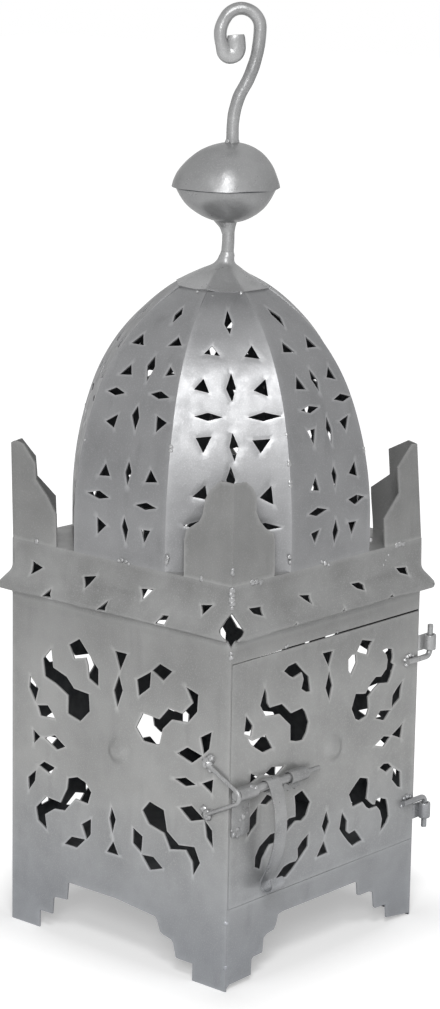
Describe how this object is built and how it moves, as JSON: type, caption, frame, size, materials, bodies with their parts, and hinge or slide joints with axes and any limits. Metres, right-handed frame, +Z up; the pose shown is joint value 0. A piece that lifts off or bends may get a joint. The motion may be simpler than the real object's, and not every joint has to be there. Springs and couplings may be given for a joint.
{
  "type": "lantern floor lamp",
  "caption": "Square pierced metal candle lantern with an eight-sided dome, corner crests, a ball finial with a hanging hook, stepped feet, and a hinged front door with a sliding bolt.",
  "frame": {"origin": "centre of the square body's footprint, on the surface that the lantern stands on", "axes": "+Z up; the door is on the -Y side, its hinges are on the +X side and its latch on the -X side"},
  "size_m": [0.2224, 0.2232, 0.6403],
  "materials": {
    "painted_sheet": "satin silver paint on beaten sheet",
    "painted_forgings": "satin silver paint on forged rod and strap"
  },
  "bodies": {
    "lantern": {"wall_left": "painted_sheet", "wall_right": "painted_sheet", "wall_back": "painted_sheet", "front_sill": "painted_sheet", "front_header": "painted_sheet", "floor_pan": "painted_sheet", "cornice_front": "painted_sheet", "cornice_left": "painted_sheet", "cornice_back": "painted_sheet", "cornice_right": "painted_sheet", "corner_plate_1": "painted_sheet", "corner_plate_2": "painted_sheet", "corner_plate_3": "painted_sheet", "corner_plate_4": "painted_sheet", "merlon_1": "painted_sheet", "merlon_2": "painted_sheet", "merlon_3": "painted_sheet", "merlon_4": "painted_sheet", "dome_gore_1": "painted_sheet", "dome_gore_2": "painted_sheet", "dome_gore_3": "painted_sheet", "dome_gore_4": "painted_sheet", "dome_gore_5": "painted_sheet", "dome_gore_6": "painted_sheet", "dome_gore_7": "painted_sheet", "dome_gore_8": "painted_sheet", "dome_cap": "painted_sheet", "ball_lower_bowl": "painted_sheet", "ball_upper_bowl": "painted_sheet", "hook_rod": "painted_forgings", "hinge_sleeve_upper": "painted_forgings", "hinge_sleeve_lower": "painted_forgings", "latch_keeper": "painted_forgings"},
    "door": {"door_panel": "painted_sheet", "pintle_upper": "painted_forgings", "pintle_lower": "painted_forgings", "bolt_guide_left": "painted_forgings", "bolt_guide_right": "painted_forgings"},
    "bolt": {"latch_bolt": "painted_forgings"},
    "handle": {"bolt_handle": "painted_forgings"}
  },
  "joints": [
    {"name": "door_hinge", "type": "hinge", "parent": "lantern", "child": "door", "pos_m": [0.1105, -0.1023, 0.14], "axis": [0, 0, 1], "range_deg": [0, 245]},
    {"name": "bolt_slide", "type": "slide", "parent": "door", "child": "bolt", "axis": [-1, 0, 0], "range_m": [-0.0112, 0.009]},
    {"name": "handle_lift", "type": "hinge", "parent": "bolt", "child": "handle", "pos_m": [-0.064, -0.1052, 0.137], "axis": [-1, 0, 0], "range_deg": [0, 150]}
  ]
}
